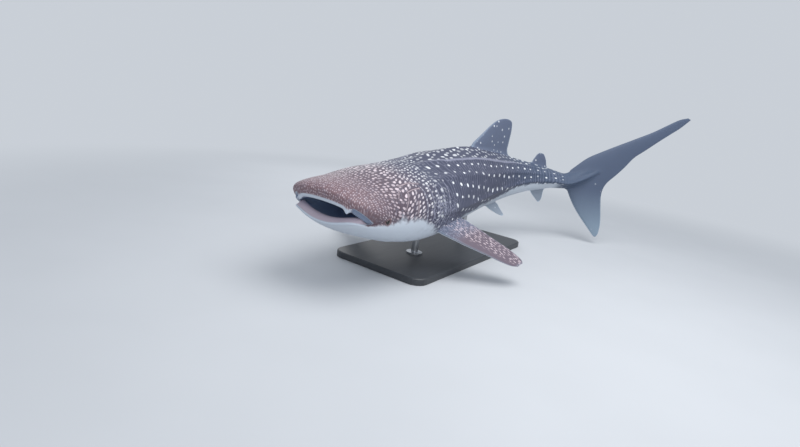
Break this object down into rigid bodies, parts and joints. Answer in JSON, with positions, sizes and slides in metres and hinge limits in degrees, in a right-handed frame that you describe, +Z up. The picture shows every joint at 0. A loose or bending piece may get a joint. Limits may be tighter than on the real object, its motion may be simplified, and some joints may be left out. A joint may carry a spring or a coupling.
{
  "type": "whale shark display model",
  "caption": "Life-size still model of a young whale shark, mouth open and tail swung to its left, held by rods over a flat display base.",
  "frame": {"origin": "bottom centre of the bounding box, on the floor under the display base", "axes": "+Z up; the nose points to -X and the tail to +X; the shark's left side faces -Y"},
  "size_m": [4.6524, 2.7898, 1.7897],
  "materials": {
    "skin": "satin slate skin with white spots and bars, pale below",
    "fin_skin": "satin slate skin with few spots and paler edges",
    "eye": "wet gloss",
    "base": "dark satin paint",
    "rod": "brushed"
  },
  "bodies": {
    "root": {"head": "skin", "lower_jaw": "skin", "gill_region": "skin", "torso": "skin", "tail": "skin", "caudal_fin": "fin_skin", "first_dorsal_fin": "fin_skin", "second_dorsal_fin": "fin_skin", "anal_fin": "fin_skin", "pectoral_fin_left": "fin_skin", "pectoral_fin_right": "fin_skin", "pelvic_fin_left": "fin_skin", "pelvic_fin_right": "fin_skin", "eye_left": "eye", "eye_right": "eye", "stand_base": "base", "stand_rod_front": "rod", "stand_rod_rear": "rod"}
  },
  "joints": []
}
